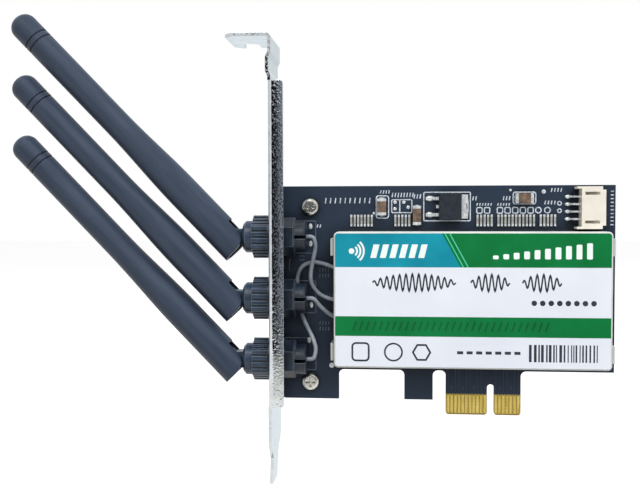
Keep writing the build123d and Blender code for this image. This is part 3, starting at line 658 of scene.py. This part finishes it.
# Empty footprint beside the first capacitor, and the header's four feet. Solder has wet the bare pads
# into low domes, and it holds the foot of each pin to its pad.
bare_pads = ((-26.1, 58.4), (-26.1, 56.6), (-22.5, 57.0), (-23.7, 58.4))
bare_width, bare_height, bare_rise = 1.1, 1.0, 0.25
for x, z in bare_pads:
    dome(solder, x, z, bare_width, bare_height, board_face, bare_rise)
pin_foot_x = 20.4
pin_middle, pin_pitch = 56.75, 2.0
pin_fillet_length = 1.9
pin_count = 4
for i in range(pin_count):
    z = pin_middle + pin_pitch * (i - (pin_count - 1) / 2)
    dome(solder, pin_foot_x, z, pin_fillet_length, fillet, board_face, foot_rise)
new_piece("solder_fillets", solder, reflowed_solder)

# Small chip parts. Glazed grey ceramic with tinned ends, soldered side by side in rows. The glaze gives
# the bodies a soft shine, and the ends are brighter.
chip_ceramic = mottled(
    "glazed_chip_ceramic",
    ("#7a7c7a", "#a6a8a4"),
    cloud_mm=0.8,
    grain_mm=0.15,
    depth_mm=0.004,
    shading={"Roughness": 0.45},
)
dress(chip_ceramic, "chip_bodies")
dress(tin_plate, "chip_terminals")

# Four-way header. Unfilled ivory nylon, moulded with two slots in its roof and pressed over square tinned
# pins. The nylon lets in a little light, which softens its shaded sides.
ivory_nylon = mottled(
    "ivory_nylon",
    ("#dfd9ca", "#ebe6da", "#f3efe6"),
    cloud_mm=5.0,
    grain_mm=0.25,
    depth_mm=0.006,
    soft_mm=0.2,
    shading={"Roughness": 0.45, "Subsurface Weight": 0.06, "Subsurface Radius": (0.0008, 0.0006, 0.0004)},
)
# A lighter tone is painted along the nylon's edges, as rubbed wear and a painted highlight.
dress(ivory_nylon, "header_housing")
dress(tin_plate, "header_pins")

# Module cover. A shallow ivory lid moulded in ABS, held by four barbed legs through the board. It has a
# satin face, which catches the light along its rounded edges, where a lighter tone is painted as rubbed
# wear and a painted highlight. Shade is painted into it within 1.5 mm of other surfaces.
ivory_abs = mottled(
    "moulded_ivory_abs",
    ("#ccd0cb", "#dcdfda", "#e6e9e4"),
    painted_shade_mm=1.5,
    cloud_mm=7.0,
    grain_mm=0.3,
    depth_mm=0.006,
    soft_mm=0.2,
    shading={"Roughness": 0.42},
)
dress(ivory_abs, "module_cover")

# Cover label. White polyester film stuck to the lid, printed with a teal and green heading, a green
# band and plain marks. The inks lie on the film as thin even fields with a satin gloss.
label_low, label_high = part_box("cover_label")
film_left, film_right = label_low.x / MM, label_high.x / MM
film_top = label_high.z / MM
film_face = label_low.y / MM
film_corner = 0.7
print_rise = 0.012
heading_bottom = 41.0
slant_top, slant_bottom = -13.55, -8.63
band_top, band_bottom, band_corner = 27.8, 22.5, 0.05
polyester = mottled(
    "white_polyester_film",
    ("#dde2ec", "#e7ebf3"),
    cloud_mm=18.0,
    grain_mm=0.35,
    depth_mm=0.002,
    shading={"Roughness": 0.4, "Specular IOR Level": 0.3},
)
dress(polyester, "cover_label")


def ink(name, dark, light):
    """A printed ink: nearly even, with the faint cloudiness of a thin film."""
    shading = {"Roughness": 0.38, "Specular IOR Level": 0.15}
    return mottled(name, (dark, light), cloud_mm=9.0, grain_mm=0.3, depth_mm=0.001, shading=shading)


heading = bmesh.new()
corner = arc(film_left + film_corner, film_top - film_corner, film_corner, 90, 180, 4)
field(
    heading,
    [(film_left, heading_bottom), (slant_bottom, heading_bottom), (slant_top, film_top), *corner],
    film_face,
    print_rise,
)
new_piece("label_teal_ink", heading, ink("teal_screen_ink", "#0c869b", "#1597ac"))

greens = bmesh.new()
corner = arc(film_right - film_corner, film_top - film_corner, film_corner, 0, 90, 4)
field(
    greens,
    [(slant_bottom, heading_bottom), (film_right, heading_bottom), *corner, (slant_top, film_top)],
    film_face,
    print_rise,
)
band = rounded(film_left, band_bottom, film_right, band_top, band_corner, steps=1)
field(greens, band, film_face, print_rise)
new_piece("label_green_ink", greens, ink("green_screen_ink", "#046c34", "#0a7a3f"))

# Pale marks on the heading: two lines beside its slant, a broadcast sign, slanted slabs and rising levels.
overprint = film_face - print_rise
slant = Vector((slant_bottom - slant_top, heading_bottom - film_top))
slant_line = 0.28
slant_shifts = (0.75, 2.0)
pale = bmesh.new()
for shift in slant_shifts:
    top = Vector((slant_top + shift, film_top))
    stroke(pale, [top, top + slant], slant_line, overprint, print_rise)
new_piece("label_mint_lines", pale, ink("mint_screen_ink", "#46c49a", "#58d4ab"))
white = bmesh.new()
sign_x, sign_z = -37.6, 45.3
sign_dot = 0.75
sign_radii = (1.5, 2.4, 3.3)
sign_line = 0.5
sign_half_angle = 48
# A dot's outline is 24 points, from 0 to 345 degrees in 23 steps.
dot_outline = (0, 345, 23)
field(white, arc(sign_x, sign_z, sign_dot, *dot_outline), overprint, print_rise)
for radius in sign_radii:
    wave = arc(sign_x, sign_z, radius, -sign_half_angle, sign_half_angle)
    stroke(white, wave, sign_line, overprint, print_rise)
slab_count = 6
slab_left, slab_pitch, slab_width = -32.6, 2.55, 1.6
slab_bottom, slab_top, slab_lean = 43.5, 47.1, 0.9
for index in range(slab_count):
    left = slab_left + slab_pitch * index
    right = left + slab_width
    slab = [
        (left, slab_bottom),
        (right, slab_bottom),
        (right + slab_lean, slab_top),
        (left + slab_lean, slab_top),
    ]
    field(white, slab, overprint, print_rise)
level_count = 10
level_left, level_pitch, level_width = -0.2, 2.7, 1.5
level_bottom, first_level, level_step, level_corner = 43.2, 44.2, 0.36, 0.3
for index in range(level_count):
    x = level_left + level_pitch * index
    level = rounded(x, level_bottom, x + level_width, first_level + level_step * index, level_corner)
    field(white, level, overprint, print_rise)
new_piece("label_white_ink", white, ink("white_screen_ink", "#e6f2ee", "#f2faf6"))

# Dark marks on the white film: three bursts of a carrier wave, a row of dots, plain signs, dashes and a
# field of random bars. A burst has its first X and its number of waves.
dark = bmesh.new()
bursts = ((-32.0, 13), (-6.0, 6), (7.5, 6))
wave_z, wave_height, wave_length = 36.9, 2.3, 1.7
wave_line = 0.42
samples_per_wave = 12
swell_power = 0.6
for start, waves in bursts:
    count = waves * samples_per_wave
    burst = []
    for k in range(count + 1):
        swell = math.sin(math.pi * k / count) ** swell_power
        z = wave_z + wave_height * swell * math.sin(math.tau * k / samples_per_wave)
        burst.append((start + wave_length * k / samples_per_wave, z))
    stroke(dark, burst, wave_line, film_face, print_rise)
dot_count = 8
dot_left, dot_pitch, dot_z, dot_radius = 10.6, 2.2, 31.6, 0.72
for index in range(dot_count):
    dot = arc(dot_left + dot_pitch * index, dot_z, dot_radius, *dot_outline)
    field(dark, dot, film_face, print_rise)
shape_z, shape_radius = 18.25, 2.3
shape_line, circle_line = 0.5, 0.45
square = rounded(-37.4, 15.9, -33.0, 20.6, 0.9)
circle = arc(-26.4, shape_z, shape_radius, 0, 352.5, 47)
hexagon = arc(-18.9, shape_z, shape_radius, 0, 300, 5)
stroke(dark, square, shape_line, film_face, print_rise, closed=True)
stroke(dark, circle, circle_line, film_face, print_rise, closed=True)
stroke(dark, hexagon, shape_line, film_face, print_rise, closed=True)
dash_count = 7
dash_left, dash_pitch, dash_length = -9.5, 2.5, 1.6
dash_z, dash_line = 18.3, 0.8
for index in range(dash_count):
    x = dash_left + dash_pitch * index
    stroke(dark, [(x, dash_z), (x + dash_length, dash_z)], dash_line, film_face, print_rise)
bars = random.Random(11)
bar_x, bars_end = 9.3, 27.2
bar_bottom, bar_top, bar_corner = 16.0, 20.6, 0.02
while bar_x < bars_end:
    bar_width = bars.choice((0.28, 0.42, 0.42, 0.7))
    bar = rounded(bar_x, bar_bottom, bar_x + bar_width, bar_top, bar_corner, steps=1)
    field(dark, bar, film_face, print_rise)
    bar_x += bar_width + bars.choice((0.3, 0.42, 0.6))
new_piece("label_dark_ink", dark, ink("dark_screen_ink", "#2b313b", "#3a414c"))
hatch_count = 30
hatch_left, hatch_pitch, hatch_lean = -37.2, 1.75, 0.9
hatch_bottom, hatch_top = 24.0, 26.5
hatch_line = 0.5
hatch = bmesh.new()
for index in range(hatch_count):
    x = hatch_left + hatch_pitch * index
    stroke(hatch, [(x, hatch_bottom), (x + hatch_lean, hatch_top)], hatch_line, overprint, print_rise)
new_piece("label_hatch", hatch, ink("deep_green_screen_ink", "#0a4f2a", "#106236"))

# Bracket. Cold-rolled sheet steel, pierced, folded and zinc plated. The plating mirrors its
# surroundings, broken by a fine orange-peel mottle.
plated_steel = mottled(
    "zinc_plated_steel",
    ("#bfc4c8", "#d2d6d9", "#dfe3e6"),
    cloud_mm=2.5,
    grain_mm=0.6,
    depth_mm=0.036,
    crest=0.48,
    shading={"Metallic": 1.0, "Roughness": 0.04, "Specular Tint": linear("#e4ebee")},
    soft_mm=0.15,
)
# A lighter tone is painted along the bracket's edges, as rubbed wear and a painted highlight.
dress(plated_steel, "bracket")

# Screws. Nickel-plated steel. Two pan heads with a cross recess go through the board into the bracket's
# ears, and plain heads hold the module to its pillars. The plating is bright and slightly warm.
nickel_steel = mottled(
    "nickel_plated_steel",
    ("#b4b2aa", "#d9d7cf", "#e6e5df"),
    cloud_mm=0.9,
    grain_mm=0.4,
    depth_mm=0.012,
    shading={"Metallic": 1.0, "Roughness": 0.22},
    soft_mm=0.15,
)
# A lighter tone is painted along the screws' edges, as rubbed wear and a painted highlight.
dress(nickel_steel, "bracket_screws", "module_screws")

# Antenna jacks and washers. Bulkhead bodies moulded in black glass-filled nylon, each with a blackened
# steel washer against the bracket. Shade is painted into the nylon where other parts come near, and a
# lighter tone along its edges is rubbed wear and a painted highlight.
black_nylon = mottled(
    "black_glass_filled_nylon",
    ("#10171f", "#1e2936", "#5a6774"),
    painted_shade_mm=4.0,
    cloud_mm=2.2,
    grain_mm=0.2,
    depth_mm=0.01,
    shading={"Roughness": 0.4, "Specular IOR Level": 0.45},
    soft_mm=0.3,
)
dress(black_nylon, "antenna_jack_1", "antenna_jack_2", "antenna_jack_3")
black_steel = mottled(
    "blackened_steel",
    ("#2a2f36", "#434951"),
    cloud_mm=1.5,
    grain_mm=0.3,
    depth_mm=0.006,
    shading={"Metallic": 0.9, "Roughness": 0.4},
)
dress(black_steel, "jack_washers")

# Pigtails. Thin coaxial cable from each jack to its plug on the module. The extruded fluoropolymer jacket
# is smooth and grey, with an even satin shine.
grey_jacket = mottled(
    "grey_fluoropolymer_jacket",
    ("#6b727c", "#8f969e"),
    cloud_mm=3.0,
    grain_mm=0.3,
    depth_mm=0.004,
    shading={"Roughness": 0.36},
)
dress(grey_jacket, "pigtail_1", "pigtail_2", "pigtail_3")

# Antennas. Coupling nuts and elbows are moulded in dark ABS, and the whips in a softer matt elastomer
# with faint flow lines along them. Shade is painted into both where parts come near, which darkens the
# nuts' grooves and the sides of the whips that face each other. A lighter tone along their edges is
# rubbed wear and a painted highlight.
whip_tilt = math.radians(45.9)
dark_abs = mottled(
    "dark_moulded_abs",
    ("#192738", "#2f4258", "#6c7e90"),
    painted_shade_mm=4.0,
    cloud_mm=2.5,
    grain_mm=0.2,
    depth_mm=0.008,
    shading={"Roughness": 0.36, "Specular IOR Level": 0.5},
    soft_mm=0.3,
)
elastomer = mottled(
    "matt_elastomer",
    ("#2c3646", "#3a4556", "#495464"),
    painted_shade_mm=6.0,
    cloud_mm=2.0,
    grain_mm=0.25,
    depth_mm=0.006,
    shading={"Roughness": 0.47, "Specular IOR Level": 0.28},
    soft_mm=0.3,
    stretch=(9, 1, 1),
    turn=whip_tilt,
)
for index in (1, 2, 3):
    dress(dark_abs, f"coupling_nut_{index}", f"elbow_{index}")
    dress(elastomer, f"whip_{index}")

# Studio. White paper below the card, black and grey boards in front, which only mirrored light shows, and
# four soft lamps: a key above on the right, one in front, one behind and a small strip that metal mirrors.
floor_drop_mm = 27
floor_z = cad_low.z - floor_drop_mm * MM
floor_half = 3.0


def sheet_of(name, corners, material, mirrored_only=False):
    """A flat panel of the studio, which isn't part of the card."""
    data = bpy.data.meshes.new(name)
    data.from_pydata(corners, [], [range(len(corners))])
    data.materials.append(material)
    panel = bpy.data.objects.new(name, data)
    bpy.context.scene.collection.objects.link(panel)
    if mirrored_only:
        panel.visible_camera = False
        panel.visible_diffuse = False
        panel.visible_transmission = False
        panel.visible_shadow = False


def seen_directly(tree):
    """1 for what the camera sees straight on, mirrored or through glass, and 0 for scattered light."""
    path = add(tree, "LightPath", {})
    mirrored = add(
        tree,
        "Math",
        {0: path.outputs["Is Glossy Ray"], 1: path.outputs["Is Transmission Ray"]},
        operation="MAXIMUM",
    )
    seen = add(
        tree, "Math", {0: path.outputs["Is Camera Ray"], 1: mirrored.outputs[0]}, operation="MAXIMUM"
    )
    return seen.outputs[0]


# White paper lifts to white where it is seen, and keeps a faint shadow.
floor_lift = 0.9
fibre_mm = 4.0
paper, tree = new_material("white_paper")
fibre = add(tree, "TexNoise", {"Scale": 1 / (fibre_mm * MM)})
paper_tone = add(
    tree, "Mix", {0: fibre.outputs[0], 6: linear("#7c7c7c"), 7: linear("#808080")}, data_type="RGBA"
)
lift = add(tree, "Math", {0: seen_directly(tree), 1: floor_lift}, operation="MULTIPLY")
shader = add(
    tree,
    "BsdfPrincipled",
    {
        "Base Color": paper_tone.outputs[2],
        "Roughness": 0.95,
        "Specular IOR Level": 0.0,
        "Emission Color": linear("#ffffff"),
        "Emission Strength": lift.outputs[0],
    },
)
add(tree, "OutputMaterial", {"Surface": shader.outputs[0]})
sheet_of(
    "floor",
    [
        (-floor_half, -floor_half, floor_z),
        (floor_half, -floor_half, floor_z),
        (floor_half, floor_half, floor_z),
        (-floor_half, floor_half, floor_z),
    ],
    paper,
)
card_y = -0.42
for name, left, right, top, dark, light in (
    ("left_card", -0.3, -0.1117, 0.165, "#06080e", "#0d1017"),
    ("grey_card", -0.1117, -0.08, 0.165, "#aab0bb", "#b9bfca"),
    ("right_card", -0.08, 0.3, 0.12, "#1a1d22", "#24272c"),
):
    painted = mottled(
        name,
        (dark, light),
        cloud_mm=30.0,
        grain_mm=2.0,
        depth_mm=0.1,
        shading={"Roughness": 0.9, "Specular IOR Level": 0.1},
    )
    sheet_of(
        name,
        [(left, card_y, floor_z), (right, card_y, floor_z), (right, card_y, top), (left, card_y, top)],
        painted,
        mirrored_only=True,
    )

# A strip of paper on the floor fades from grey to white towards the card. The foot of the bracket's lip
# mirrors it.
fade_left, fade_right = -0.14, -0.07
fade_near = -0.235
fade_z = floor_z + 0.5 * MM
fading_paper, tree = new_material("fading_grey_paper")
place = add(tree, "TexCoord", {})
spot = add(tree, "SeparateXYZ", {0: place.outputs["Object"]})
nearness = add(
    tree, "MapRange", {"Value": spot.outputs["Y"], "From Min": card_y, "From Max": fade_near}
)
fade_tone = add(
    tree, "Mix", {0: nearness.outputs[0], 6: linear("#83817d"), 7: linear("#efeee8")}, data_type="RGBA"
)
shader = add(
    tree,
    "BsdfPrincipled",
    {"Base Color": fade_tone.outputs[2], "Roughness": 0.95, "Specular IOR Level": 0.0},
)
add(tree, "OutputMaterial", {"Surface": shader.outputs[0]})
sheet_of(
    "fading_strip",
    [
        (fade_left, card_y, fade_z),
        (fade_right, card_y, fade_z),
        (fade_right, fade_near, fade_z),
        (fade_left, fade_near, fade_z),
    ],
    fading_paper,
    mirrored_only=True,
)

# A backdrop that is white where it is seen or mirrored, and a weaker even light on everything else.
ambient = 0.34
world = bpy.data.worlds.new("studio")
bpy.context.scene.world = world
world.use_nodes = True
world.node_tree.nodes.clear()
tree = world.node_tree
level = add(
    tree,
    "Math",
    {0: seen_directly(tree), 1: 1.0 - ambient, 2: ambient},
    operation="MULTIPLY_ADD",
)
backdrop = add(tree, "Background", {"Color": linear("#ffffff"), "Strength": level.outputs[0]})
add(tree, "OutputWorld", {"Surface": backdrop.outputs[0]})

# Lamps: place and side in metres, and power in watts. Only the strip shows in what metal mirrors.
aim = Vector((-0.03, 0.0, 0.045))
for name, spot_at, size, watts in (
    ("key", (0.45, -0.7, 0.95), 0.8, 13.6),
    ("front", (-0.1, -1.2, 0.3), 0.9, 4.5),
    ("behind", (-0.35, 0.9, 0.7), 0.8, 10.0),
    ("strip", (-0.17, -0.39, 0.5), 0.12, 0.6),
):
    lamp = bpy.data.lights.new(name, "AREA")
    lamp.size = size
    lamp.energy = watts
    holder = bpy.data.objects.new(name, lamp)
    bpy.context.scene.collection.objects.link(holder)
    holder.visible_camera = False
    holder.visible_glossy = name == "strip"
    holder.location = spot_at
    holder.rotation_euler = (aim - Vector(spot_at)).to_track_quat("-Z", "Y").to_euler()

# Camera. It stands in front of the card, level with the upper part of the board and left of the tongue, and
# is turned a little to the left and down. Its normal lens has the focal length that fits the photograph.
focal_pixels = 938.5
image_width = 640
sensor_width = 36.0
camera_data = bpy.data.cameras.new("camera")
camera_data.sensor_fit = "HORIZONTAL"
camera_data.sensor_width = sensor_width
camera_data.lens = focal_pixels / image_width * sensor_width
camera_data.clip_start = 0.01
camera = bpy.data.objects.new("camera", camera_data)
bpy.context.scene.collection.objects.link(camera)
yaw, pitch, roll = (math.radians(angle) for angle in (5.28, -2.15, -0.12))
stand = Matrix.Translation((-0.0229, -0.259485, 0.0557))
turn = Matrix.Rotation(yaw, 4, "Z")
tip = Matrix.Rotation(math.radians(90) + pitch, 4, "X")
camera.matrix_world = stand @ turn @ tip @ Matrix.Rotation(roll, 4, "Z")
bpy.context.scene.camera = camera
bpy.context.scene.view_settings.view_transform = "Standard"
